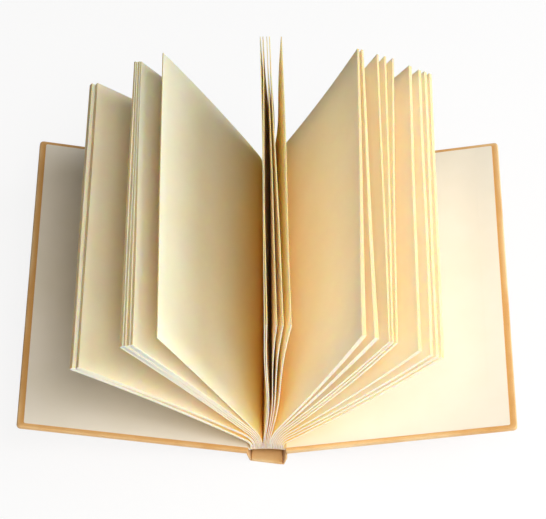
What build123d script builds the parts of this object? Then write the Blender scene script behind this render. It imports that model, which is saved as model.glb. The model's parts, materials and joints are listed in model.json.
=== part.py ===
from build123d import *
import math
import os

# Pages, in millimetres: +X towards the back cover, +Y towards the head, +Z up from the spine
page_height = 210.0
page_width = 143.0
sheet_thickness = 0.1
leaf_slit = 0.2
root_depth = 3.4
back_height = 9.6
back_rise = 1.2
edge_bend_radius = 6.0
middle_bend_radius = 62.0

# Layers of the fan from front to back: the leaves in each, its lean from the vertical at the root
# and its further turn along the blade, in degrees, positive towards the back cover, and the angle
# by which its leaves spread
layer_leaf_counts = (
    16, 16, 7, 6, 7, 6, 7, 5, 6, 5, 6, 6, 8, 8, 8, 8, 8, 8, 8, 8, 8,
)
layer_lean_angles = (
    -47.0, -47.8, -34.0, -34.0, -34.0, -34.0, -26.9, -0.2, -0.1, 1.1, 1.8, 3.3, 27.1, 28.8, 33.0, 34.2,
    35.0, 41.5, 44.3, 45.2, 46.1,
)
layer_turn_angles = (
    -6.0, -6.0, -4.0, -4.0, -4.0, -4.0, -3.0, -0.2, -0.2, 0.4, 0.5, 1.8, -5.0, -5.0, -5.5, -6.0, -6.0,
    -7.0, -7.0, -7.5, -8.0,
)
layer_spread_angles = (
    0.4, 0.4, 0.33, 0.33, 0.33, 0.33, 0.0, 0.0, 0.0, 0.0, 0.0, 0.0, 0.5, 0.5, 0.2, 0.2, 0.2, 0.2,
    0.3, 0.3, 0.3,
)

# Cover boards and what lines them
board_width = 140.5
board_thickness = 2.4
board_square = 3.0
board_corner_radius = 2.0
cloth_thickness = 0.5
turn_in_width = 15.0
edge_round = 0.6
paper_thickness = 0.3
paper_fore_margin = 4.0
paper_end_margin = 2.5
paper_corner_radius = 1.0
cover_slope = 12.3
paper_roll_sweep = 80.0

# Spine of the case, the joints that rise from its edges and the lining on the block's back
spine_width = 21.0
spine_corner_radius = 0.9
card_thickness = 2.0
card_side_gap = 0.5
hinge_height = 11.0
hinge_spread = 26.4
hinge_clearance = 0.3
lining_thickness = 0.5
lining_drop = 0.7

# Sizes that follow
cover_height = page_height + 2 * board_square
board_height = cover_height - 2 * cloth_thickness
board_face = board_thickness / 2
cloth_face = board_face + cloth_thickness
paper_face = cloth_face + paper_thickness
cover_width = board_width + cloth_thickness
hinge_x = hinge_spread / 2
bend_height = back_height + root_depth
layer_count = len(layer_leaf_counts)
block_thickness = sum(layer_leaf_counts) * sheet_thickness + (layer_count - 1) * leaf_slit
block_half = block_thickness / 2


def section(profile, height):
    """Extrude a profile drawn in X and Z equally towards the head and the tail."""
    return extrude(Plane.XZ * profile, amount=height / 2, both=True)


def leaf_side(foot, side, half_thickness, bend_radius, lean, blade_radius, turn):
    """One face of a layer: straight up from the glue, round the root bend, then along the blade."""
    start = (foot + side * half_thickness, back_height + root_depth / 2)
    rise = Line(start, (start[0], bend_height))
    bend_offset = math.copysign(side * half_thickness, -side * lean)
    bend = JernArc(rise @ 1, rise % 1, bend_radius + bend_offset, -lean)
    blade_offset = math.copysign(side * half_thickness, -side * turn)
    return rise + bend + JernArc(bend @ 1, bend % 1, blade_radius + blade_offset, -turn)


def layer(foot, leaves, lean, turn, spread):
    """Section of one layer of leaves, as wide from root to fore-edge as every other."""
    half_thickness = leaves * sheet_thickness / 2
    inward = abs(foot) / block_half
    bend_radius = middle_bend_radius + (edge_bend_radius - middle_bend_radius) * inward
    blade_length = page_width - root_depth - math.radians(abs(lean)) * bend_radius
    blade_radius = blade_length / math.radians(abs(turn))
    faces = []
    for side in (-1, 1):
        side_lean = lean + side * spread / 2
        faces.append(leaf_side(foot, side, half_thickness, bend_radius, side_lean, blade_radius, turn))
    fore_edge = Line(faces[0] @ 1, faces[1] @ 1)
    return make_face(faces[0] + fore_edge + faces[1] + Line(faces[0] @ 0, faces[1] @ 0))


def back_arc(drop):
    """The arched back of the block, or the same arch a little lower."""
    ends = back_height - drop
    return ThreePointArc((-block_half, ends), (0, ends + back_rise), (block_half, ends))


def text_block():
    """All the leaves as one solid: a glued root with the layers fanned out of it."""
    arc = back_arc(0)
    top = Polyline(arc @ 1, (block_half, bend_height), (-block_half, bend_height), arc @ 0)
    layers = []
    edge = -block_half
    table = zip(layer_leaf_counts, layer_lean_angles, layer_turn_angles, layer_spread_angles)
    for leaves, lean, turn, spread in table:
        thickness = leaves * sheet_thickness
        layers.append(layer(edge + thickness / 2, leaves, lean, turn, spread))
        edge += thickness + leaf_slit
    fan = make_face(arc + top) + layers
    return section(fan, page_height)


def joint_x(height):
    """Where the inner face of the back joint lies at a height above the table."""
    along = Line((spine_width / 2, 0), (hinge_x, hinge_height)) % 0
    foot = Vector(spine_width / 2, 0) + Vector(-along.Y, along.X) * cloth_thickness
    return foot.X + (height - foot.Y) * along.X / along.Y


def spine_lining():
    """Gauze and paper glued over the block's back, with a flap out to each joint."""
    top = back_arc(0)
    bottom = back_arc(lining_thickness)
    flap_top = back_height - lining_drop
    flap_bottom = flap_top - lining_thickness
    right = Polyline(top @ 1, (joint_x(flap_top), flap_top), (joint_x(flap_bottom), flap_bottom), bottom @ 1)
    left = mirror(right, about=Plane.YZ)
    return section(make_face(top + right + bottom + left), page_height)


def spine_card():
    """Stiffener of the case's spine, lying on the covering cloth."""
    width = spine_width - 2 * cloth_thickness - 2 * card_side_gap
    base = Plane.XY.offset(cloth_thickness)
    return extrude(base * Rectangle(width, board_height), amount=card_thickness)


def joint_line(right, radius):
    """Line up one joint, across the spine and up the other, from its two points on the right."""
    left = [(-x, z) for x, z in reversed(right)]
    return FilletPolyline(*left, *right, radius=radius)


def spine_cloth(card):
    """Covering cloth under the spine, up both joints to the hinge lines and turned in at the ends."""
    right = [(spine_width / 2, 0), (hinge_x, hinge_height)]
    right_inside = [(joint_x(height), height) for height in (cloth_thickness, hinge_height)]
    outside = joint_line(right, spine_corner_radius)
    inside = joint_line(right_inside, spine_corner_radius - cloth_thickness)
    rims = Line(outside @ 0, inside @ 0) + Line(outside @ 1, inside @ 1)
    hollow = Pos(hinge_x, hinge_height) * Circle(cloth_face + hinge_clearance)
    channel = make_face(outside + inside + rims) - hollow - mirror(hollow, about=Plane.YZ)
    cloth = section(channel, cover_height)
    size = card.bounding_box().size
    for end in (-1, 1):
        fold_width = turn_in_width + cloth_thickness
        fold_height = card_thickness + 2 * cloth_thickness
        fold = Box(size.X, fold_width, fold_height, align=(Align.CENTER, Align.CENTER, Align.MIN))
        cloth += Pos(0, end * (cover_height - fold_width) / 2, 0) * fold
    return cloth - card


def slab(face, width, height, radius):
    """A flat piece of a cover in its own frame: round about the hinge line, square at the fore-edge."""
    top = Line((0, face), (width, face))
    fore = Line((width, face), (width, -face))
    bottom = Line((width, -face), (0, -face))
    roll = ThreePointArc((0, -face), (-face, 0), (0, face))
    piece = section(make_face(top + fore + bottom + roll), height)
    corners = piece.edges().filter_by(Axis.Z).sort_by(Axis.X)[-2:]
    return fillet(corners, radius)


def cover_cloth(board):
    """Cloth of one cover: round the board and the hinge line, turned in on three sides."""
    cloth = slab(cloth_face, cover_width, cover_height, board_corner_radius + cloth_thickness)
    rims = cloth.edges().filter_by(lambda e: e.center().X > board_face and abs(e.center().Z) > board_face)
    cloth = fillet(rims, edge_round)
    return cloth - board - turned_in_window(cloth_face)


def turned_in_window(top):
    """The space inside the turned-in cloth on a board's inner face."""
    width = board_width - turn_in_width
    height = board_height - 2 * turn_in_width
    reach = cloth_face
    window = Box(width + reach, height, top - board_face, align=(Align.MIN, Align.CENTER, Align.MIN))
    return Pos(-reach, 0, board_face) * window


def pastedown():
    """Half of the endpaper: over the board and the turned-in cloth, and round the hinge line."""
    width = cover_width - paper_fore_margin
    height = cover_height - 2 * paper_end_margin
    sweep = math.radians(paper_roll_sweep)
    inner_end = (-cloth_face * math.sin(sweep), cloth_face * math.cos(sweep))
    outer_end = (-paper_face * math.sin(sweep), paper_face * math.cos(sweep))
    inner = RadiusArc(inner_end, (0, cloth_face), cloth_face)
    outer = RadiusArc(outer_end, (0, paper_face), paper_face)
    edge = Polyline((0, cloth_face), (width, cloth_face), (width, paper_face), (0, paper_face))
    sheet = section(make_face(inner + edge + outer + Line(outer_end, inner_end)), height)
    corners = sheet.edges().filter_by(Axis.Z).sort_by(Axis.X)[-2:]
    sheet = fillet(corners, paper_corner_radius)
    filler = Box(board_width - turn_in_width, board_height - 2 * turn_in_width, cloth_thickness,
                 align=(Align.MIN, Align.CENTER, Align.MIN))
    return sheet + Pos(0, 0, board_face) * filler


def on_back_hinge(piece):
    """Set a piece of a cover on the back hinge line, raised by the slope that the covers keep."""
    return Pos(hinge_x, 0, hinge_height) * Rot(0, -cover_slope, 0) * piece


def main():
    """Build every piece and write it out."""
    board = slab(board_face, board_width, board_height, board_corner_radius)
    covers = {"board": board, "cover_cloth": cover_cloth(board), "pastedown": pastedown()}
    card = spine_card()
    pieces = {
        "text_block": text_block(),
        "spine_lining": spine_lining(),
        "spine_card": card,
        "spine_cloth": spine_cloth(card),
    }
    for name, piece in covers.items():
        pieces["back_" + name] = on_back_hinge(piece)
        pieces["front_" + name] = mirror(pieces["back_" + name], about=Plane.YZ)
    os.makedirs("parts", exist_ok=True)
    for name, piece in pieces.items():
        export_step(piece, f"parts/{name}.step")


main()
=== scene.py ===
"""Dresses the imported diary: fanned leaves, cloth case, endpapers, table and light.

Everything is in metres in the part's own frame: +X towards the back cover, +Y towards the head of
the pages and +Z up from the spine, which stands on the table.
"""
import json
import logging
import math
import random
from dataclasses import dataclass, field
from enum import Enum
from typing import Any, Iterable, Sequence

import bmesh
import bpy
from bmesh.types import BMEdge, BMesh, BMVert
from bpy.types import Material, Mesh, Node, NodeSocket, Object
from mathutils import Matrix, Vector
from mathutils.geometry import intersect_line_line
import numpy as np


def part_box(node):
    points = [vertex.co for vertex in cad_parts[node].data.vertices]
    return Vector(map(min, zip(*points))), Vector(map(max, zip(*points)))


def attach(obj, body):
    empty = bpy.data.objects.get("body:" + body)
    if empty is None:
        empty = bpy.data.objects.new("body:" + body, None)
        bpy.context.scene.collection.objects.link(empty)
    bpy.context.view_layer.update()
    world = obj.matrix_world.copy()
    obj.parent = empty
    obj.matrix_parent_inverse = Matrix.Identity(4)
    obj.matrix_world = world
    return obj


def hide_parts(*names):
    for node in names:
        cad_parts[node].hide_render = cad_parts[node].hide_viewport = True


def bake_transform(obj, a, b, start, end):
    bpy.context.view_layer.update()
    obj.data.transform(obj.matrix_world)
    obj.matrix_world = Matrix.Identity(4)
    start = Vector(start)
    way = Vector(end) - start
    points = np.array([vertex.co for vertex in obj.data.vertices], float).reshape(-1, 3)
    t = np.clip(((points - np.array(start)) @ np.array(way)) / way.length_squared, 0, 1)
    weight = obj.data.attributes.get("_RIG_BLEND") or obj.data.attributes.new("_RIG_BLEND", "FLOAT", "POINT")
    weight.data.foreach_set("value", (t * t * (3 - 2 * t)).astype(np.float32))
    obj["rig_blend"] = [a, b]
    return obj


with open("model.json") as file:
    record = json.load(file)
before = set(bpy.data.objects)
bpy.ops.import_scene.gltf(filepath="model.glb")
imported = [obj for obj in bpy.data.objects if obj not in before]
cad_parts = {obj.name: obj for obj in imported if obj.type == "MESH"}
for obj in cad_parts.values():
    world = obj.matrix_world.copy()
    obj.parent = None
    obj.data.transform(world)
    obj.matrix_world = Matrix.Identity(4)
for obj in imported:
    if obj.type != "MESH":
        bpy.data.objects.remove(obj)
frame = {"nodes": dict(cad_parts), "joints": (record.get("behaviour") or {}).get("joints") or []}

MM = 0.001
HEAD_AXIS = Vector((0.0, 1.0, 0.0))
SIDE_AXIS = Vector((1.0, 0.0, 0.0))
FLIP = Vector((-1.0, 1.0, 1.0))
UNIT_HALF = 0.5
SHARP_ANGLE = math.radians(38.0)
ROUND_PROFILE = 0.5
BAR_STEPS = 4
Triple = tuple[float, float, float]
Pair = tuple[float, float]
Colour = Triple
WHITE = (1.0, 1.0, 1.0, 1.0)
log = logging.getLogger("diary")


class Side(Enum):
    """Which cover a piece belongs to, and the way it lies along X."""

    FRONT = -1
    BACK = 1

    @property
    def word(self) -> str:
        """The side's name as it begins a piece's name."""
        return self.name.lower()

    @property
    def body(self) -> str:
        """The moving body that carries this side's pieces."""
        return f"{self.word}_cover"


class Slot(Enum):
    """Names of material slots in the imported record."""

    PAGES = "pages"
    ENDPAPER = "endpaper"
    CLOTH = "cover_cloth"


class Rounded(Enum):
    """What a rounding takes off."""

    EDGES = "EDGES"
    CORNERS = "VERTICES"


class Value:
    """A shader value: Python operators on it add Math nodes."""

    def __init__(self, shader: "Shader", socket: NodeSocket) -> None:
        """Wrap one output socket of a shader's tree."""
        self.shader = shader
        self.socket = socket

    def math(self, operation: str, other: Any = 0.0, swapped: bool = False) -> "Value":
        """Combine this value with another.

        Args:
            operation: Name of the Math node's operation.
            other: A number or another value.
            swapped: Whether the other one comes first.

        Returns:
            The result as a new value.
        """
        first, second = (other, self) if swapped else (self, other)
        made = self.shader.node("ShaderNodeMath", {"operation": operation}, {0: first, 1: second})
        return Value(self.shader, made.outputs[0])

    def __add__(self, other: Any) -> "Value":
        """Sum."""
        return self.math("ADD", other)

    __radd__ = __add__

    def __sub__(self, other: Any) -> "Value":
        """Difference."""
        return self.math("SUBTRACT", other)

    def __rsub__(self, other: Any) -> "Value":
        """Difference from a number."""
        return self.math("SUBTRACT", other, swapped=True)

    def __mul__(self, other: Any) -> "Value":
        """Product."""
        return self.math("MULTIPLY", other)

    __rmul__ = __mul__

    def sine(self) -> "Value":
        """Sine of an angle in radians."""
        return self.math("SINE")

    def size(self) -> "Value":
        """The value without its sign."""
        return self.math("ABSOLUTE")

    def ramp(self, start: float, end: float) -> "Value":
        """Rise smoothly from 0 at start to 1 at end."""
        made = self.shader.node(
            "ShaderNodeMapRange",
            {"interpolation_type": "SMOOTHSTEP"},
            {"Value": self, "From Min": start, "From Max": end},
        )
        return Value(self.shader, made.outputs["Result"])


@dataclass(frozen=True)
class Grain:
    """Soft noise: features in a metre, finer octaves, and each axis scaled for grain that runs one way."""

    scale: float
    detail: float = 2.0
    stretch: Triple = (1.0, 1.0, 1.0)


class Shader:
    """Builds the node tree of one material, and knows the Mix node's colour sockets."""

    MIX_FACTOR, MIX_FIRST, MIX_SECOND, MIX_RESULT = 0, 6, 7, 2

    def __init__(self, name: str) -> None:
        """Start an empty material of that name."""
        self.material = bpy.data.materials.new(name)
        self.material.use_nodes = True
        self.tree = self.material.node_tree
        self.tree.nodes.clear()

    def node(self, kind: str, settings: dict[str, Any], sockets: dict[Any, Any]) -> Node:
        """Add a node.

        Args:
            kind: The node's type.
            settings: Its own settings, set before its sockets.
            sockets: Values or links of its inputs, by name or number.

        Returns:
            The new node.
        """
        made = self.tree.nodes.new(kind)
        for key, setting in settings.items():
            setattr(made, key, setting)
        for key, given in sockets.items():
            source = given.socket if isinstance(given, Value) else given
            if isinstance(source, NodeSocket):
                self.tree.links.new(source, made.inputs[key])
            else:
                made.inputs[key].default_value = source
        return made

    def object_point(self) -> NodeSocket:
        """Place on the piece, in metres."""
        return self.node("ShaderNodeTexCoord", {}, {}).outputs["Object"]

    def attribute(self, name: str) -> Value:
        """A number kept on the piece's own vertices."""
        return Value(self, self.node("ShaderNodeAttribute", {"attribute_name": name}, {}).outputs["Fac"])

    def noise(self, point: NodeSocket, grain: Grain) -> Value:
        """Soft noise from 0 to 1, read at a place."""
        drawn = self.node("ShaderNodeMapping", {}, {"Vector": point, "Scale": grain.stretch})
        made = self.node(
            "ShaderNodeTexNoise",
            {},
            {"Vector": drawn.outputs["Vector"], "Scale": grain.scale, "Detail": grain.detail},
        )
        return Value(self, made.outputs["Fac"])

    def mix(self, factor: Any, first: Any, second: Any, way: str = "MIX") -> NodeSocket:
        """Mix two colours.

        Args:
            factor: How much of the second, from 0 to 1.
            first: A colour or a link.
            second: A colour or a link.
            way: The Mix node's blend type.

        Returns:
            The mixed colour's socket.
        """
        colours = [(*c, 1.0) if isinstance(c, tuple) else c for c in (first, second)]
        made = self.node(
            "ShaderNodeMix",
            {"data_type": "RGBA", "blend_type": way},
            {self.MIX_FACTOR: factor, self.MIX_FIRST: colours[0], self.MIX_SECOND: colours[1]},
        )
        return made.outputs[self.MIX_RESULT]

    def shaded(self, colour: NodeSocket, shade: Value, blue: Value) -> NodeSocket:
        """Multiply a colour by a shade, with a shade of its own for blue."""
        grey = self.node("ShaderNodeCombineColor", {}, {0: shade, 1: shade, 2: blue})
        return self.mix(1.0, colour, grey.outputs[0], "MULTIPLY")

    def axes(self, point: NodeSocket) -> tuple[Value, Value]:
        """How far a place lies across the piece and along it."""
        parts = self.node("ShaderNodeSeparateXYZ", {}, {0: point}).outputs
        return Value(self, parts[0]), Value(self, parts[1])

    def bump(self, height: Value, depth: float, strength: float) -> NodeSocket:
        """A bumped normal from a height of 0 to 1 that stands for a depth in metres."""
        made = self.node("ShaderNodeBump", {}, {"Height": height, "Distance": depth, "Strength": strength})
        return made.outputs["Normal"]

    def surface(self, sockets: dict[str, Any]) -> Material:
        """Finish the material with one surface, from the inputs of its Principled BSDF."""
        skin = self.node("ShaderNodeBsdfPrincipled", {}, sockets)
        self.node("ShaderNodeOutputMaterial", {}, {"Surface": skin.outputs["BSDF"]})
        return self.material


@dataclass(frozen=True)
class PaperFinish:
    """Uncoated paper, with painted warm shade towards the gutter and on the fore-edge, and painted light on
    the edges at head and tail.

    Attributes:
        name: The material's name.
        colour: The open sheet.
        gutter_shade_colour: The sheet near the back, deep orange: a little yellowing, and painted warm shade
            of the gutter.
        lit_edge_colour: The cut edges at head and tail, paler than the sheet: painted light.
        shaded_fore_colour: The cut fore-edge, darker and more yellow than the sheet: some yellowing, and
            painted shade that tones down the lit edge.
        gutter_shade_reach: How far out from the back the painted gutter shade lasts, as a share of the leaf.
        roughness: Of the plain sheet.
        gloss: The specular level.
        cloud: The sheet's cloudy formation.
        fibre: Its fibres.
        glow: How much of the light goes on inside the paper.
    """

    name: str
    colour: Colour
    gutter_shade_colour: Colour
    lit_edge_colour: Colour
    shaded_fore_colour: Colour
    gutter_shade_reach: float = 0.45
    roughness: float = 0.82
    gloss: float = 0.25
    cloud: Grain = Grain(38.0, 3.0)
    cloud_share: float = 0.07
    fibre: Grain = Grain(1500.0, 4.0, (1.0, 0.35, 1.0))
    fibre_roughness: float = 0.12
    fibre_depth: float = 0.03 * MM
    fibre_relief: float = 0.35
    glow: float = 0.0
    glow_radius: Triple = (1.0, 0.64, 0.22)
    glow_scale: float = 2.0 * MM

    def material(self) -> Material:
        """Build the material: tone, cloudy formation and fibres."""
        shader = Shader(self.name)
        point = shader.object_point()
        reach = shader.attribute("reach")
        cloud = shader.noise(point, self.cloud)
        fibre = shader.noise(point, self.fibre)
        # Painted shade: the sheet turns orange towards the gutter and the fore-edge darker, and painted
        # light makes the head and tail edges paler.
        face = shader.mix(reach.ramp(0.0, self.gutter_shade_reach), self.gutter_shade_colour, self.colour)
        trimmed = shader.mix(shader.attribute("cut"), face, self.lit_edge_colour)
        tone = shader.mix(shader.attribute("fore"), trimmed, self.shaded_fore_colour)
        shade = 1.0 - self.cloud_share * cloud
        return shader.surface({
            "Base Color": shader.shaded(tone, shade, shade * shade),
            "Roughness": self.roughness + self.fibre_roughness * fibre,
            "Specular IOR Level": self.gloss,
            "Subsurface Weight": self.glow,
            "Subsurface Radius": self.glow_radius,
            "Subsurface Scale": self.glow_scale,
            "Normal": shader.bump(fibre, self.fibre_depth, self.fibre_relief),
        })


@dataclass(frozen=True)
class ClothFinish:
    """Plain woven book cloth, rubbed paler along the edges, with painted shade in the hollows of the weave.

    Attributes:
        name: The material's name.
        warp: Colour of the threads along the book.
        weft: Colour of the threads across it.
        worn: Colour where edges are rubbed.
        pitch: From one thread to the next.
        crossing: How softly one thread goes over the other.
        slub_warp: Thick places of the warp, and slub_weft of the weft.
        patch: Pale and dark patches.
        rub_range: Between which of their values the rubbing sets in.
        rub_floor: How much of it reaches the hollows of the weave.
        shade: Of those hollows, which stay darker than the raised threads: painted shade.
    """

    name: str
    warp: Colour
    weft: Colour
    worn: Colour
    pitch: float = 0.52 * MM
    crossing: float = 0.35
    slub_warp: Grain = Grain(90.0, 3.0, (16.0, 1.0, 1.0))
    slub_weft: Grain = Grain(90.0, 3.0, (1.0, 16.0, 1.0))
    patch: Grain = Grain(24.0, 4.0)
    rub_range: Pair = (0.25, 0.7)
    rub_floor: float = 0.45
    shade: float = 0.72
    slub_shade: float = 0.2
    thread_shade: float = 0.12
    patch_shade: float = 0.12
    roughness: float = 0.74
    slub_roughness: float = 0.18
    gloss: float = 0.3
    sheen: float = 0.15
    thread_depth: float = 0.08 * MM
    slub_relief: float = 0.5
    relief: float = 0.55

    def material(self) -> Material:
        """Build the material: over-and-under threads, slubs, patches and rubbed edges."""
        shader = Shader(self.name)
        weave = shader.node("ShaderNodeUVMap", {"uv_map": "weave"}, {}).outputs["UV"]
        across, along = shader.axes(weave)
        turns = math.pi / self.pitch
        warp_wave = (across * turns).sine()
        weft_wave = (along * turns).sine()
        over = (warp_wave * weft_wave).ramp(-self.crossing, self.crossing)
        height = over * warp_wave.size() + (1.0 - over) * weft_wave.size()
        slub_warp, slub_weft = (shader.noise(weave, grain) for grain in (self.slub_warp, self.slub_weft))
        slub = over * slub_warp + (1.0 - over) * slub_weft
        patch = shader.noise(shader.object_point(), self.patch)
        reached = self.rub_floor + (1.0 - self.rub_floor) * height
        rubbed = shader.attribute("wear") * patch.ramp(*self.rub_range) * reached
        threads = shader.mix(over, self.weft, self.warp)
        # Painted shade: the weave's hollows stay darker than the raised threads; slubs and patches vary the
        # cloth's own colour.
        shade = self.shade + self.slub_shade * slub
        shade = shade + self.thread_shade * height + self.patch_shade * patch
        return shader.surface({
            "Base Color": shader.mix(rubbed, shader.shaded(threads, shade, shade), self.worn),
            "Roughness": self.roughness + self.slub_roughness * slub,
            "Specular IOR Level": self.gloss,
            "Sheen Weight": self.sheen,
            "Normal": shader.bump(height + self.slub_relief * slub, self.thread_depth, self.relief),
        })


@dataclass(frozen=True)
class BoardFinish:
    """Grey pulp board with flecks of other fibre, which set in over fleck_range."""

    name: str
    colour: Colour
    fleck: Colour
    flecks: Grain = Grain(900.0, stretch=(1.0, 0.4, 1.0))
    fleck_range: Pair = (0.6, 0.72)
    pulp: Grain = Grain(160.0, 6.0)
    shade: float = 0.78
    pulp_shade: float = 0.4
    roughness: float = 0.8
    pulp_roughness: float = 0.15
    depth: float = 0.06 * MM
    fleck_relief: float = 0.3
    relief: float = 0.6

    def material(self) -> Material:
        """Build the material: pulpy clouds with dark flecks."""
        shader = Shader(self.name)
        point = shader.object_point()
        pulp = shader.noise(point, self.pulp)
        fleck = shader.noise(point, self.flecks)
        flecked = shader.mix(fleck.ramp(*self.fleck_range), self.colour, self.fleck)
        shade = self.shade + self.pulp_shade * pulp
        return shader.surface({
            "Base Color": shader.shaded(flecked, shade, shade),
            "Roughness": self.roughness + self.pulp_roughness * pulp,
            "Normal": shader.bump(pulp + self.fleck_relief * fleck, self.depth, self.relief),
        })


@dataclass(frozen=True)
class GauzeFinish:
    """Open gauze soaked with glue, as lines a book's back, with threads that drift."""

    name: str
    thread: Colour
    glue: Colour
    pitch: float = 1.3 * MM
    thread_share: float = 0.55
    drift: Grain = Grain(220.0, 3.0)
    roughness: float = 0.45
    thread_roughness: float = 0.4
    depth: float = 0.15 * MM
    drift_relief: float = 0.4
    relief: float = 0.7

    def material(self) -> Material:
        """Build the material: crossing threads over dried glue."""
        shader = Shader(self.name)
        point = shader.object_point()
        turns = math.pi / self.pitch
        drift = shader.noise(point, self.drift)
        warp, weft = (
            (way * turns + drift).sine().size().ramp(self.thread_share, 1.0) for way in shader.axes(point)
        )
        net = warp.math("MAXIMUM", weft)
        return shader.surface({
            "Base Color": shader.mix(net, self.glue, self.thread),
            "Roughness": self.roughness + self.thread_roughness * net,
            "Normal": shader.bump(net + self.drift_relief * drift, self.depth, self.relief),
        })


@dataclass(frozen=True)
class TableFinish:
    """A plain white table that keeps the object's shadow."""

    name: str
    colour: Colour
    glow_share: float = 0.87

    def material(self) -> Material:
        """Build the material: matt white, partly glowing to the camera and in reflections."""
        shader = Shader(self.name)
        path = shader.node("ShaderNodeLightPath", {}, {})
        seen = Value(shader, path.outputs["Is Camera Ray"])
        for ray in ("Is Glossy Ray", "Is Transmission Ray"):
            seen = seen.math("MAXIMUM", Value(shader, path.outputs[ray]))
        matt = shader.node("ShaderNodeBsdfDiffuse", {}, {"Color": (*self.colour, 1.0)})
        glow = shader.node("ShaderNodeEmission", {}, {"Color": WHITE, "Strength": 1.0})
        both = shader.node("ShaderNodeMixShader", {}, {
            0: seen * self.glow_share, 1: matt.outputs[0], 2: glow.outputs[0],
        })
        shader.node("ShaderNodeOutputMaterial", {}, {"Surface": both.outputs[0]})
        return shader.material


def pull(bm: BMesh, rim: Sequence[BMEdge], by: Vector) -> list[BMEdge]:
    """Draw a rim of edges straight on.

    Args:
        bm: The mesh being made.
        rim: The edges to draw on.
        by: How far and which way.

    Returns:
        The new rim.
    """
    made = bmesh.ops.extrude_edge_only(bm, edges=list(rim))["geom"]
    bmesh.ops.translate(bm, verts=[g for g in made if isinstance(g, BMVert)], vec=by)
    return [g for g in made if isinstance(g, BMEdge)]


def spin(bm: BMesh, geom: Sequence[Any], centre: Vector, angle: float, steps: int) -> list[Any]:
    """Carry the open end of a mesh round an axis along the book, and return the new end."""
    made = bmesh.ops.spin(bm, geom=list(geom), cent=centre, axis=HEAD_AXIS, angle=angle, steps=steps,
                          use_merge=False)
    return made["geom_last"]


def swing(bm: BMesh, rim: Sequence[BMEdge], centre: Vector, angle: float, steps: int) -> list[BMEdge]:
    """Draw a rim of edges round an axis that runs along the book.

    Args:
        bm: The mesh being made.
        rim: The edges to draw on.
        centre: A point of the axis.
        angle: In radians, positive from +Z towards +X.
        steps: How many strips.

    Returns:
        The new rim.
    """
    corners = dict.fromkeys(v for edge in rim for v in edge.verts)
    made = spin(bm, [*rim, *corners], centre, angle, steps)
    return [g for g in made if isinstance(g, BMEdge)]


def thicken(bm: BMesh, thickness: float) -> None:
    """Give an open sheet its thickness, behind its faces."""
    bmesh.ops.solidify(bm, geom=bm.faces[:], thickness=thickness)
    if bm.calc_volume(signed=True) < 0:
        bmesh.ops.reverse_faces(bm, faces=bm.faces[:])


def round_off(
    bm: BMesh, geom: list[Any], radius: float, steps: int, what: Rounded = Rounded.EDGES
) -> None:
    """Round off edges, or the corners of a sheet, in so many steps."""
    bmesh.ops.bevel(bm, geom=geom, offset=radius, segments=steps, profile=ROUND_PROFILE,
                    affect=what.value, material=-1)


def score(bm: BMesh, fore: float, head: float) -> None:
    """Cut a flat cover piece beside its open sides: at fore out from the hinge, and at head both ways."""
    cuts = ((Vector((fore, 0.0, 0.0)), SIDE_AXIS), (Vector((0.0, head, 0.0)), HEAD_AXIS),
            (Vector((0.0, -head, 0.0)), HEAD_AXIS))
    for point, normal in cuts:
        whole = [*bm.verts, *bm.edges, *bm.faces]
        bmesh.ops.bisect_plane(bm, geom=whole, plane_co=point, plane_no=normal)


def set_on_side(bm: BMesh, side: Side) -> None:
    """Mirror a piece, made for the back cover, if it belongs to the front one."""
    if side is Side.FRONT:
        bmesh.ops.scale(bm, vec=FLIP, verts=bm.verts[:])
        bmesh.ops.reverse_faces(bm, faces=bm.faces[:])


def lay_weave(bm: BMesh, flatten: Matrix) -> None:
    """Lay the weave on each face in real metres, square to the piece.

    Args:
        bm: The finished mesh.
        flatten: Turns the piece so that its broad faces lie level.
    """
    weave = bm.loops.layers.uv.new("weave")
    for face in bm.faces:
        facing = (flatten.to_3x3() @ face.normal).to_tuple()
        sizes = [abs(part) for part in facing]
        kept = [axis for axis in range(3) if axis != sizes.index(max(sizes))]
        for corner in face.loops:
            place = flatten @ corner.vert.co
            corner[weave].uv = (place[kept[0]], place[kept[1]])


def set_numbers(mesh: Mesh, name: str, numbers: Sequence[float]) -> None:
    """Keep one number for each vertex on a mesh."""
    kept = mesh.attributes.new(name, "FLOAT", "POINT")
    kept.data.foreach_set("value", list(numbers))


def add_object(name: str, data: Any) -> Object:
    """Put a mesh, lamp or camera in the scene at the origin."""
    made = bpy.data.objects.new(name, data)
    bpy.context.scene.collection.objects.link(made)
    return made


def aim(thing: Object, place: Sequence[float], ahead: Vector) -> None:
    """Hang a lamp or camera in its place, facing ahead."""
    thing.location = place
    thing.rotation_euler = ahead.to_track_quat("-Z", "Y").to_euler()


def make_mesh(name: str, bm: BMesh, material: Material) -> Mesh:
    """Keep a finished bmesh as a mesh with one material."""
    mesh = bpy.data.meshes.new(name)
    bm.to_mesh(mesh)
    bm.free()
    mesh.materials.append(material)
    return mesh


def make_piece(name: str, bm: BMesh, material: Material) -> Object:
    """Turn a finished bmesh into a piece of the scene.

    Args:
        name: The piece's name.
        bm: Its mesh, in place.
        material: Its finish.

    Returns:
        The new object.
    """
    mesh = make_mesh(name, bm, material)
    mesh.shade_smooth()
    mesh.set_sharp_from_angle(angle=SHARP_ANGLE)
    piece = add_object(name, mesh)
    return piece


@dataclass(frozen=True)
class Layer:
    """One layer of the fan of leaves.

    Attributes:
        leaves: How many lie together in it.
        lean: From the vertical at the root, in degrees, positive towards the back cover.
        turn: Further turn along the blade, in degrees.
        spread: Angle over which its leaves spread, in degrees.
        twist: How far the fore-edge's head end is turned past its middle, in millimetres.
        flare: By what share the leaves spread more at the tail, and less at the head.
        bow: How far the lower half stands out towards the back cover, in millimetres.
    """

    leaves: int
    lean: float
    turn: float
    spread: float
    twist: float
    flare: float = 0.0
    bow: float = 0.0


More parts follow.
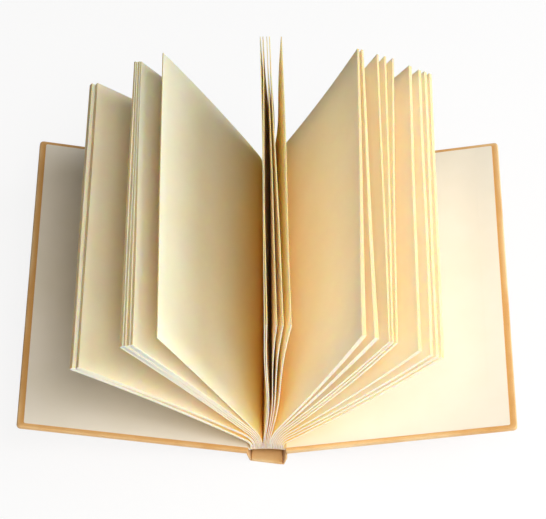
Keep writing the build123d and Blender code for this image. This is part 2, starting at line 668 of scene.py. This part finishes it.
@dataclass
class Book:
    """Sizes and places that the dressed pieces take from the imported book."""

    cover_slope: float = math.radians(12.3)
    board_face: float = 1.2 * MM
    cloth: float = 0.5 * MM
    paper: float = 0.3 * MM
    edge_round: float = 0.6 * MM
    turn_in: float = 15.0 * MM
    spine_width: float = 21.0 * MM
    card: float = 2.0 * MM
    hinge: Vector = field(init=False)
    page_height: float = field(init=False)
    back_height: float = field(init=False)
    cover_height: float = field(init=False)
    cover_width: float = field(init=False)

    def __post_init__(self) -> None:
        """Read the hinge line, the pages and the covers from the frame."""
        joint = next(j for j in frame["joints"] if j["name"] == "back_cover_hinge")
        self.hinge = Vector(joint["pos_m"])
        low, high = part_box("text_block")
        self.page_height = high.y - low.y
        self.back_height = low.z
        low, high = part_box("back_cover_cloth")
        self.cover_height = high.y - low.y
        round_centre = high.x - self.hinge.x - self.edge_round
        round_centre -= (self.cloth_face - self.edge_round) * math.sin(self.cover_slope)
        self.cover_width = round_centre / math.cos(self.cover_slope) + self.edge_round

    @property
    def cloth_face(self) -> float:
        """From the middle of a board to the outside of its cloth."""
        return self.board_face + self.cloth

    @property
    def paper_face(self) -> float:
        """From the middle of a board to the face of its endpaper."""
        return self.cloth_face + self.paper

    @property
    def spine_foot(self) -> Vector:
        """Where the back joint's cloth meets the table."""
        return Vector((self.spine_width / 2, 0.0, 0.0))

    @property
    def joint_up(self) -> Vector:
        """The way up the back joint, from the table to the hinge line."""
        return (self.hinge - self.spine_foot).normalized()

    @property
    def cover_place(self) -> Matrix:
        """Takes a cover laid flat from the hinge line along +X to its place on the back hinge."""
        return Matrix.Translation(self.hinge) @ Matrix.Rotation(-self.cover_slope, 4, "Y")

    def along_cover(self, reach: float, height: float) -> Vector:
        """A point of the back cover's section, by its reach from the hinge and height over its middle."""
        return self.cover_place @ Vector((reach, 0.0, height))


# Leaves, lean, turn, spread, twist and flare of each layer, from the front to the back
FAN = (
    Layer(16, -47.0, -6.0, 0.55, 0.5),
    Layer(16, -47.8, -6.0, 0.55, 0.35),
    Layer(7, -34.0, -4.0, 0.4, -0.5, 0.5),
    Layer(6, -34.0, -4.0, 0.4, -0.95, 0.5),
    Layer(7, -34.0, -4.0, 0.4, -1.55, 0.5),
    Layer(6, -34.0, -4.0, 0.4, -2.0, 0.5),
    Layer(7, -26.9, -3.0, 0.0, -2.2),
    Layer(5, -0.2, -0.2, 0.0, -2.2, bow=2.4),
    Layer(6, -0.1, -0.2, 0.0, -1.9, bow=2.4),
    Layer(5, 1.1, 0.4, 0.0, -3.6, bow=2.4),
    Layer(6, 1.8, 0.5, 0.0, -4.5, bow=2.4),
    Layer(6, 3.3, 1.8, 0.0, -3.1, bow=2.4),
    Layer(8, 27.1, -5.0, 0.5, 0.2, 0.55),
    Layer(8, 28.8, -5.0, 0.5, -2.4, 0.55),
    Layer(8, 33.0, -5.5, 0.2, -1.2),
    Layer(8, 34.2, -6.0, 0.2, 0.5),
    Layer(8, 35.0, -6.0, 0.2, 2.0),
    Layer(8, 41.5, -7.0, 0.5, 0.65),
    Layer(8, 44.3, -7.0, 0.5, 0.2),
    Layer(8, 45.2, -7.5, 0.5, 0.3),
    Layer(8, 46.1, -8.0, 0.5, 0.5),
)


@dataclass
class LeafFan:
    """The leaves, glued at the back and fanned out in layers."""

    book: Book
    finish: PaperFinish
    page_width: float = 143.0 * MM
    pitch: float = 0.1 * MM
    slit: float = 0.2 * MM
    root_depth: float = 3.4 * MM
    back_rise: float = 1.2 * MM
    edge_bend: float = 6.0 * MM
    middle_bend: float = 62.0 * MM
    ripple: float = 0.35 * MM
    ripple_range: Pair = (0.5, 1.0)
    ridge: float = 0.05 * MM
    ridge_range: Pair = (0.2, 1.0)
    flank: float = 0.1
    end_facing: float = 0.5
    bow_fall: float = 1.6
    groove: float = 0.018 * MM
    rows: int = 14
    bend_steps: int = 7
    blade_steps: int = 14
    seed: int = 7
    splits: tuple[int, int] = (7, 12)

    @property
    def block_half(self) -> float:
        """Half the thickness of all the layers side by side."""
        leaves = sum(layer.leaves for layer in FAN) * self.pitch
        return (leaves + (len(FAN) - 1) * self.slit) / 2

    def back_z(self, foot: float) -> float:
        """Height of the arched back under a leaf."""
        half = self.block_half
        radius = (half * half + self.back_rise * self.back_rise) / (2 * self.back_rise)
        crown = self.book.back_height + self.back_rise
        return crown - radius + math.sqrt(radius * radius - foot * foot)

    def build(self) -> list[Object]:
        """Make the front, middle and back leaves.

        Returns:
            The three pieces.
        """
        draws = random.Random(self.seed)
        material = self.finish.material()
        first, second = self.splits
        groups = {"front_leaves": range(first), "middle_leaves": range(first, second),
                  "back_leaves": range(second, len(FAN))}
        feet = self._feet()
        pieces = []
        for name, members in groups.items():
            bm = bmesh.new()
            for index in members:
                layer = self._layer(FAN[index], feet[index], draws)
                carried = bpy.data.meshes.new("layer")
                layer.to_mesh(carried)
                layer.free()
                bm.from_mesh(carried)
                bpy.data.meshes.remove(carried)
            piece = make_piece(name, bm, material)
            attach(piece, "book_block")
            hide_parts("text_block")
            pieces.append(piece)
        return pieces

    def _feet(self) -> list[float]:
        """Where the middle of each layer stands across the back."""
        feet = []
        edge = -self.block_half
        for layer in FAN:
            thickness = layer.leaves * self.pitch
            feet.append(edge + thickness / 2)
            edge += thickness + self.slit
        return feet

    def _layer(self, layer: Layer, foot: float, draws: random.Random) -> BMesh:
        """Grow one layer from its glued foot, round the root bend and along the blade.

        Args:
            layer: The layer.
            foot: Where its middle stands.
            draws: The random draws.

        Returns:
            A closed solid with a ridge for each leaf round its three open edges.
        """
        lean, turn = math.radians(layer.lean), math.radians(layer.turn)
        inward = abs(foot) / self.block_half
        bend = self.middle_bend + (self.edge_bend - self.middle_bend) * inward
        blade = (self.page_width - self.root_depth - abs(lean) * bend) / abs(turn)
        bend_z = self.book.back_height + self.root_depth
        bm = bmesh.new()
        bmesh.ops.create_grid(bm, x_segments=layer.leaves, y_segments=self.rows, size=UNIT_HALF)
        across = bm.verts.layers.float.new("across")
        for vert in bm.verts:
            vert[across] = vert.co.x
        bmesh.ops.scale(bm, vec=(layer.leaves * self.pitch, self.book.page_height, 1.0), verts=bm.verts[:])
        bmesh.ops.translate(bm, vec=(foot, 0.0, 0.0), verts=bm.verts[:])
        for vert in bm.verts:
            vert.co.z = self.back_z(vert.co.x)
        top = bmesh.ops.extrude_face_region(bm, geom=bm.faces[:])["geom"]
        for vert in top:
            if isinstance(vert, BMVert):
                vert.co.z = bend_z
        side = Vector((math.cos(lean), 0.0, -math.sin(lean)))
        bend_centre = Vector((foot + math.copysign(bend, lean), 0.0, bend_z))
        blade_centre = bend_centre + (math.copysign(blade, turn) - math.copysign(bend, lean)) * side
        top = spin(bm, top, bend_centre, lean, self.bend_steps)
        spin(bm, top, blade_centre, turn, self.blade_steps)
        bmesh.ops.recalc_face_normals(bm, faces=bm.faces[:])
        self._part_leaves(bm, layer, draws)
        self._ease(bm, layer, foot, draws)
        return bm

    def _part_leaves(self, bm: BMesh, layer: Layer, draws: random.Random) -> None:
        """Raise each leaf's own edge round the tail, fore-edge and head of a layer.

        Args:
            bm: The layer's solid.
            layer: The layer.
            draws: The random draws.
        """
        across = bm.verts.layers.float["across"]
        # The cut and fore marks choose where the paper paints light on the head and tail edges and shade on
        # the fore-edge.
        cut = bm.faces.layers.float.new("cut")
        fore = bm.faces.layers.float.new("fore")
        root_z = self.book.back_height + self.root_depth / 2
        columns: list[list[Any]] = [[] for _ in range(layer.leaves)]
        for face in bm.faces:
            middle = sum(v[across] for v in face.verts) / len(face.verts)
            on_flank = abs(middle) > UNIT_HALF - self.flank / layer.leaves
            if not on_flank and face.calc_center_median().z > root_z:
                face[cut] = 1.0
                face[fore] = float(abs(face.normal.y) < self.end_facing)
                columns[int((middle + UNIT_HALF) * layer.leaves)].append(face)
        for column in columns:
            rise = self.ridge * draws.uniform(*self.ridge_range)
            bmesh.ops.inset_region(bm, faces=column, thickness=self.groove, depth=rise,
                                   use_even_offset=True)

    def _ease(self, bm: BMesh, layer: Layer, foot: float, draws: random.Random) -> None:
        """Loosen a layer towards its fore-edge: spread, twist and a slow ripple along it.

        Args:
            bm: The layer's solid.
            layer: The layer.
            foot: Where its middle stands.
            draws: The random draws.
        """
        phase = draws.uniform(0.0, math.tau)
        sway = self.ripple * draws.uniform(*self.ripple_range)
        across = bm.verts.layers.float["across"]
        reach = bm.verts.layers.float.new("reach")
        half = self.book.page_height / 2
        root_z = self.back_z(foot)
        spread = math.radians(layer.spread) * self.page_width
        for vert in bm.verts:
            out = math.hypot(vert.co.x - foot, vert.co.z - root_z) / self.page_width
            along = vert.co.y / half
            lean = math.radians(layer.lean + layer.turn * out)
            aside = spread * vert[across] * out * (1.0 - layer.flare * along)
            aside += layer.twist * MM * along * out * out
            aside += layer.bow * MM * math.sin(math.pi * (1.0 - out) ** self.bow_fall) ** 2
            aside += sway * math.sin(math.pi * along + phase) * out * out
            vert.co += aside * Vector((math.cos(lean), 0.0, -math.sin(lean)))
            # reach also sets how far out the painted gutter shade lasts.
            vert[reach] = out


@dataclass
class CoverCloth:
    """Covering cloth of one cover: up the joint, under the board and turned in over its edges."""

    book: Book
    side: Side
    corner: float = 2.5 * MM
    corner_steps: int = 6
    rim_steps: int = 3
    joint_round: float = 2.0 * MM
    joint_steps: int = 6
    floor_round: float = 1.5 * MM
    inner_end: float = 1.2 * MM
    rub_widths: Pair = (0.9 * MM, 3.0 * MM)
    facing_up: float = 0.5
    close: float = 0.01 * MM

    def build(self, material: Material) -> Object:
        """Make the piece.

        Args:
            material: The cloth.

        Returns:
            The piece, blended across its joint.
        """
        bm = bmesh.new()
        self._wrap(bm)
        self._open_inside(bm)
        bm.transform(self.book.cover_place)
        self._joint(bm)
        bmesh.ops.remove_doubles(bm, verts=bm.verts[:], dist=self.close)
        bmesh.ops.recalc_face_normals(bm, faces=bm.faces[:])
        thicken(bm, self.book.cloth)
        lay_weave(bm, self.book.cover_place.inverted())
        rubbed = [self._rub(self.book.cover_place.inverted() @ v.co) for v in bm.verts]
        set_on_side(bm, self.side)
        piece = make_piece(f"{self.side.word}_cloth", bm, material)
        set_numbers(piece.data, "wear", rubbed)
        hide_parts(f"{self.side.word}_cover_cloth")
        blend_cover(piece, self.book, self.side)
        return piece

    def _wrap(self, bm: BMesh) -> None:
        """The cloth's outside round a board that lies flat, with rounded corners and rims."""
        book = self.book
        width = book.cover_width - self.inner_end
        bmesh.ops.create_cube(bm, size=1.0)
        bmesh.ops.scale(bm, vec=(width, book.cover_height, 2 * book.cloth_face), verts=bm.verts[:])
        bmesh.ops.translate(bm, vec=(self.inner_end + width / 2, 0.0, 0.0), verts=bm.verts[:])
        uprights = [e for e in bm.edges if self._is_upright(e)]
        round_off(bm, uprights, self.corner, self.corner_steps)
        rims = [e for e in bm.edges if self._is_rim(e)]
        round_off(bm, rims, book.edge_round, self.rim_steps)

    def _is_upright(self, edge: BMEdge) -> bool:
        """Whether an edge stands at a fore-edge corner."""
        low, high = (v.co for v in edge.verts)
        return low.x > self.corner + self.inner_end and abs(low.z - high.z) > self.close

    def _is_rim(self, edge: BMEdge) -> bool:
        """Whether an edge runs along the outline of the inner or the outer face."""
        low, high = (v.co for v in edge.verts)
        level = abs(low.z - high.z) < self.close
        return level and max(low.x, high.x) > self.inner_end + self.close

    def _open_inside(self, bm: BMesh) -> None:
        """Open the window that the turned-in cloth leaves on the board, and the end at the joint."""
        book = self.book
        for inset in (*self.rub_widths, book.turn_in):
            score(bm, book.cover_width - inset, book.cover_height / 2 - inset)
        inside = [f for f in bm.faces if self._in_window(f.calc_center_median(), f.normal)]
        bmesh.ops.delete(bm, geom=inside, context="FACES")

    def _in_window(self, centre: Vector, normal: Vector) -> bool:
        """Whether a face lies in the window or closes the end at the joint."""
        if centre.x < self.inner_end + self.close:
            return True
        book = self.book
        inside = centre.x < book.cover_width - book.turn_in
        clear = abs(centre.y) < book.cover_height / 2 - book.turn_in
        return inside and clear and normal.z > self.facing_up

    def _joint(self, bm: BMesh) -> None:
        """Carry the outside of the cloth on from the board, round the joint and down to the spine."""
        book = self.book
        edge = book.along_cover(self.inner_end, -book.cloth_face)
        foot = book.spine_foot
        meeting, _ = intersect_line_line(edge, book.along_cover(0.0, -book.cloth_face), foot, book.hinge)
        inward = (meeting - edge).normalized()
        down = -book.joint_up
        turn = inward.angle(down)
        tangent = self.joint_round * math.tan(turn / 2)
        ends = [e for e in bm.edges if e.is_boundary and self._at_end(e)]
        rim = [e for e in ends if self._is_under(e)]
        pull(bm, [e for e in ends if e not in rim], inward * (self.inner_end + book.board_face))
        rim = pull(bm, rim, (meeting - edge) - inward * tangent)
        centre = meeting - inward * tangent + Vector((-inward.z, 0.0, inward.x)) * self.joint_round
        rim = swing(bm, rim, centre, -turn, self.joint_steps)
        landing = meeting + down * tangent
        pull(bm, rim, (foot - landing) - down * self.floor_round)

    def _flat(self, edge: BMEdge) -> list[Vector]:
        """An edge's two ends, with the cover laid flat."""
        return [self.book.cover_place.inverted() @ v.co for v in edge.verts]

    def _at_end(self, edge: BMEdge) -> bool:
        """Whether an edge lies where the wrapped cloth ends at the joint."""
        return all(p.x < self.inner_end + self.close for p in self._flat(edge))

    def _is_under(self, edge: BMEdge) -> bool:
        """Whether an edge lies on the outside face, under the board."""
        return all(p.z < -self.book.cloth_face + self.close for p in self._flat(edge))

    def _rub(self, flat: Vector) -> float:
        """How much a point of the flat cover is rubbed, from its distance to the edges."""
        nearest = min(self.book.cover_width - flat.x, self.book.cover_height / 2 - abs(flat.y))
        return max(0.0, 1.0 - nearest / self.rub_widths[-1])


# Where the bending at a joint starts and ends, from the back hinge line
BLEND_START = Vector((-1.0 * MM, 0.0, -2.5 * MM))
BLEND_END = Vector((7.0 * MM, 0.0, 1.5 * MM))


def blend_cover(piece: Object, book: Book, side: Side) -> None:
    """Let a piece bend at a cover's joint, still on the spine and moving with the board."""
    start = book.hinge + BLEND_START
    end = book.hinge + BLEND_END
    flip = Vector((side.value, 1.0, 1.0))
    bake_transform(piece, "book_block", side.body, start=start * flip, end=end * flip)


@dataclass
class SpineCloth:
    """Covering cloth under the spine card and up both joints, turned in at head and tail."""

    book: Book
    corner: float = 0.9 * MM
    corner_steps: int = 5
    wall_height: float = 8.0 * MM
    fold_round: float = 0.9 * MM
    wall_fold_round: float = 0.45 * MM
    cap_wear: float = 1.7
    cap_depth: float = 3.0 * MM
    lip: float = 2.8 * MM
    lip_depth: float = 18.0 * MM

    def build(self, material: Material) -> Object:
        """Make the piece: a channel with a folded hem at each end.

        Args:
            material: The cloth.

        Returns:
            The piece, which rides on the book's back.
        """
        bm = bmesh.new()
        self._channel(bm)
        for end in (-1, 1):
            self._hem(bm, end)
        lay_weave(bm, Matrix.Identity(4))
        half = self.book.cover_height / 2
        rubbed = [self.cap_wear * max(0.0, 1.0 - (half - abs(v.co.y)) / self.cap_depth) for v in bm.verts]
        self._slant(bm)
        piece = make_piece("spine_cover_cloth", bm, material)
        set_numbers(piece.data, "wear", rubbed)
        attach(piece, "book_block")
        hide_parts("spine_cloth")
        return piece

    def _channel(self, bm: BMesh) -> None:
        """The cloth down one joint, across under the card and up the other."""
        book = self.book
        foot, up = book.spine_foot, book.joint_up
        turn = math.acos(up.x)
        tangent = self.corner * math.tan(turn / 2)
        wall_top = foot + up * (self.wall_height / up.z)
        half = book.cover_height / 2 - self.fold_round / 2
        ends = [bm.verts.new(wall_top * FLIP + Vector((0.0, y, 0.0))) for y in (-half, half)]
        line = bm.edges.new(ends)
        down = (foot - wall_top) * (1.0 - tangent / (foot - wall_top).length)
        rim = pull(bm, [line], down * FLIP)
        rim = swing(bm, rim, Vector((tangent - foot.x, 0.0, self.corner)), -turn, self.corner_steps)
        rim = pull(bm, rim, Vector((2 * (foot.x - tangent), 0.0, 0.0)))
        rim = swing(bm, rim, Vector((foot.x - tangent, 0.0, self.corner)), -turn, self.corner_steps)
        pull(bm, rim, -down)
        bmesh.ops.recalc_face_normals(bm, faces=bm.faces[:])
        if min(bm.faces, key=lambda f: f.calc_center_median().z).normal.z > 0:
            bmesh.ops.reverse_faces(bm, faces=bm.faces[:])
        thicken(bm, book.cloth)

    def _slant(self, bm: BMesh) -> None:
        """Draw the tail end out aslant: level with the front cover and past the back one."""
        book = self.book
        for vert in bm.verts:
            near = max(0.0, 1.0 - (book.cover_height / 2 + vert.co.y) / self.lip_depth)
            aside = max(0.0, min(1.0, UNIT_HALF + vert.co.x / book.spine_width))
            vert.co.y -= self.lip * near * aside

    def _hem(self, bm: BMesh, end: int) -> None:
        """The cloth folded in over one end of the card and of both joints.

        Args:
            bm: Takes the hem.
            end: -1 at the tail, 1 at the head.
        """
        book = self.book
        middle = end * (book.cover_height - book.turn_in) / 2
        depth = book.card + 2 * book.cloth
        floor_size = Vector((book.spine_width - 2 * self.corner, book.turn_in, depth))
        rounded_bar(bm, floor_size, Matrix.Translation((0.0, middle, depth / 2)), self.fold_round)
        foot, up = book.spine_foot, book.joint_up
        wall_size = Vector((2 * book.cloth, book.turn_in, self.wall_height - self.corner))
        for side in Side:
            slope = side.value * math.atan2(up.x, up.z)
            inward = Vector((-up.z, 0.0, up.x)) * book.cloth
            centre = foot + up * (self.wall_height + self.corner) / 2 + inward
            centre.x *= side.value
            centre.y = middle
            place = Matrix.Translation(centre) @ Matrix.Rotation(slope, 4, "Y")
            rounded_bar(bm, wall_size, place, self.wall_fold_round)


def rounded_bar(bm: BMesh, size: Vector, place: Matrix, radius: float) -> None:
    """Add a bar with rounded edges.

    Args:
        bm: Takes the bar.
        size: Its length each way.
        place: Where it lies.
        radius: Of its edges.
    """
    made = bmesh.ops.create_cube(bm, size=1.0)["verts"]
    bmesh.ops.scale(bm, vec=size, verts=made)
    bmesh.ops.transform(bm, matrix=place, verts=made)
    edges = list(dict.fromkeys(e for v in made for e in v.link_edges))
    round_off(bm, edges, radius, BAR_STEPS)


@dataclass
class Endpaper:
    """Endpaper pasted to one cover and carried over the joint to the first leaf."""

    book: Book
    side: Side
    fore_margin: float = 4.0 * MM
    end_margin: float = 2.5 * MM
    corner: float = 1.0 * MM
    corner_steps: int = 4
    cells: int = 12
    ghost_width: float = 2.5 * MM
    ghost_depth: float = 0.18 * MM
    joint_sweep: float = math.radians(82.0)
    joint_steps: int = 8
    joint_drop: float = 0.9 * MM
    close: float = 0.1 * MM

    def build(self, material: Material) -> Object:
        """Make the piece.

        Args:
            material: The paper.

        Returns:
            The piece, blended across its joint.
        """
        book = self.book
        width = book.cover_width - self.fore_margin
        height = book.cover_height - 2 * self.end_margin
        bm = bmesh.new()
        bmesh.ops.create_grid(bm, x_segments=self.cells, y_segments=self.cells, size=UNIT_HALF)
        bmesh.ops.scale(bm, vec=(width, height, 1.0), verts=bm.verts[:])
        bmesh.ops.translate(bm, vec=(width / 2, 0.0, book.paper_face), verts=bm.verts[:])
        fore, head = width - self.corner, height / 2 - self.corner
        tips = [v for v in bm.verts if v.co.x > fore and abs(v.co.y) > head]
        round_off(bm, tips, self.corner, self.corner_steps, Rounded.CORNERS)
        self._sink(bm)
        rim = [e for e in bm.edges if e.is_boundary and all(v.co.x < self.close for v in e.verts)]
        rim = swing(bm, rim, Vector(), -self.joint_sweep, self.joint_steps)
        bm.transform(book.cover_place)
        pull(bm, rim, Vector((-self.joint_drop, 0.0, -self.joint_drop)))
        bmesh.ops.recalc_face_normals(bm, faces=bm.faces[:])
        if max(bm.faces, key=lambda f: f.calc_area()).normal.z < 0:
            bmesh.ops.reverse_faces(bm, faces=bm.faces[:])
        thicken(bm, book.paper)
        set_on_side(bm, self.side)
        piece = make_piece(f"{self.side.word}_endpaper", bm, material)
        set_numbers(piece.data, "reach", [1.0] * len(piece.data.vertices))
        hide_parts(f"{self.side.word}_pastedown")
        blend_cover(piece, book, self.side)
        return piece

    def _sink(self, bm: BMesh) -> None:
        """Let the paper down a little inside the turned-in cloth, so that its edge shows through."""
        book = self.book
        fore, head = book.cover_width - book.turn_in, book.cover_height / 2 - book.turn_in
        for inset in (0.0, self.ghost_width):
            score(bm, fore - inset, head - inset)
        for vert in bm.verts:
            inside = min(fore - vert.co.x, head - abs(vert.co.y)) / self.ghost_width
            vert.co.z -= self.ghost_depth * max(0.0, min(1.0, inside))


@dataclass(frozen=True)
class Lamp:
    """A square soft lamp.

    Attributes:
        name: Of the lamp's object.
        place: Where it hangs, in metres.
        size: Along each side, in metres.
        power: In watts.
        colour: Of its light.
    """

    name: str
    place: Triple
    size: float
    power: float
    colour: Colour

    def hang(self, target: Vector) -> None:
        """Hang the lamp and aim it at the book."""
        data = bpy.data.lights.new(self.name, "AREA")
        data.size = self.size
        data.energy = self.power
        data.color = self.colour
        aim(add_object(self.name, data), self.place, target - Vector(self.place))


# Place, size, power and colour of each lamp
LAMPS = (
    Lamp("window_lamp", (1.03, 0.0, 0.80), 1.1, 12.4, (0.98, 0.99, 1.0)),
    Lamp("side_lamp", (1.26, 0.0, 0.34), 0.5, 4.6, (1.0, 0.99, 0.95)),
    Lamp("front_lamp", (0.20, -0.56, 1.15), 0.6, 7.6, (1.0, 0.94, 0.86)),
    Lamp("low_lamp", (0.42, -1.02, 0.60), 0.5, 2.2, (0.98, 0.99, 1.0)),
    Lamp("left_lamp", (-0.34, -1.16, 0.36), 0.6, 2.7, (1.0, 0.98, 0.95)),
)


@dataclass
class Studio:
    """Table, lamps and camera."""

    target: Vector = field(default_factory=lambda: Vector((3.02, 42.9, 0.0)) * MM)
    distance: float = 1400.2 * MM
    pitch: float = math.radians(55.78)
    yaw: float = math.radians(-0.263)
    lens: float = 140.2
    table_width: float = 8.0
    table_cells: int = 4
    sky: float = 0.03
    bounces: int = 20

    def build(self, finish: TableFinish) -> None:
        """Set up the table, the light and the camera."""
        self._table(finish)
        for lamp in LAMPS:
            lamp.hang(self.target)
        self._sky()
        self._camera()
        scene = bpy.context.scene
        scene.view_settings.view_transform = "Standard"
        scene.cycles.max_bounces = self.bounces
        scene.cycles.diffuse_bounces = self.bounces

    def _table(self, finish: TableFinish) -> None:
        """A broad white table under the spine."""
        bm = bmesh.new()
        cells = self.table_cells
        bmesh.ops.create_grid(bm, x_segments=cells, y_segments=cells, size=self.table_width / 2)
        table = add_object("table", make_mesh("table", bm, finish.material()))

    def _sky(self) -> None:
        """Even white light from all round."""
        world = bpy.data.worlds.new("studio")
        world.use_nodes = True
        background = world.node_tree.nodes["Background"]
        background.inputs["Color"].default_value = WHITE
        background.inputs["Strength"].default_value = self.sky
        bpy.context.scene.world = world

    def _camera(self) -> None:
        """A long lens looking down at the tail end."""
        data = bpy.data.cameras.new("camera")
        data.lens = self.lens
        flat = math.cos(self.pitch)
        ahead = Vector((math.sin(self.yaw) * flat, math.cos(self.yaw) * flat, -math.sin(self.pitch)))
        camera = add_object("camera", data)
        aim(camera, self.target - ahead * self.distance, ahead)
        bpy.context.scene.camera = camera


# The gutter and fore-edge colours paint warm shade on the pages, and the edge colour paints light on their
# head and tail edges.
PAGE_PAPER = PaperFinish(
    "page_paper",
    colour=(0.985, 0.878, 0.68),
    gutter_shade_colour=(0.975, 0.725, 0.20),
    lit_edge_colour=(0.97, 0.905, 0.75),
    shaded_fore_colour=(0.89, 0.74, 0.44),
    glow=0.9,
)
END_TONE = (0.88, 0.83, 0.75)
END_PAPER = PaperFinish("end_paper", END_TONE, END_TONE, END_TONE, END_TONE)
BOOK_CLOTH = ClothFinish("book_cloth", (0.74, 0.40, 0.13), (0.66, 0.33, 0.09), (0.90, 0.70, 0.40))
GREY_BOARD = BoardFinish("grey_board", (0.36, 0.33, 0.29), (0.14, 0.11, 0.09))
SPINE_CARD = BoardFinish("spine_card", (0.50, 0.42, 0.32), (0.22, 0.16, 0.11))
SPINE_GAUZE = GauzeFinish("spine_gauze", (0.72, 0.56, 0.34), (0.58, 0.40, 0.20))
WHITE_TABLE = TableFinish("white_table", (0.92, 0.92, 0.93))


def dress_nodes() -> None:
    """Give the hidden stiffeners and the lining, whose shapes stay, their own finishes."""
    board = GREY_BOARD.material()
    finishes = {"front_board": board, "back_board": board, "spine_card": SPINE_CARD.material(),
                "spine_lining": SPINE_GAUZE.material()}
    for name, material in finishes.items():
        node = frame["nodes"][name]
        node.data.materials.clear()
        node.data.materials.append(material)


def corners(box: Iterable[Vector]) -> list[list[float]]:
    """Two corners of a box as plain lists."""
    return [list(corner) for corner in box]


def main() -> None:
    """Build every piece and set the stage."""
    logging.basicConfig(level=logging.INFO, format="%(name)s: %(message)s")
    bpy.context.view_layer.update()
    book = Book()
    pieces = LeafFan(book, PAGE_PAPER).build()
    cloth = BOOK_CLOTH.material()
    paper = END_PAPER.material()
    pieces.append(SpineCloth(book).build(cloth))
    for side in Side:
        pieces.append(CoverCloth(book, side).build(cloth))
        pieces.append(Endpaper(book, side).build(paper))
    dress_nodes()
    Studio().build(WHITE_TABLE)
    for piece in pieces:
        piece.data.calc_loop_triangles()
        log.info("%s: %d triangles", piece.name, len(piece.data.loop_triangles))


if __name__ == "__main__":
    main()
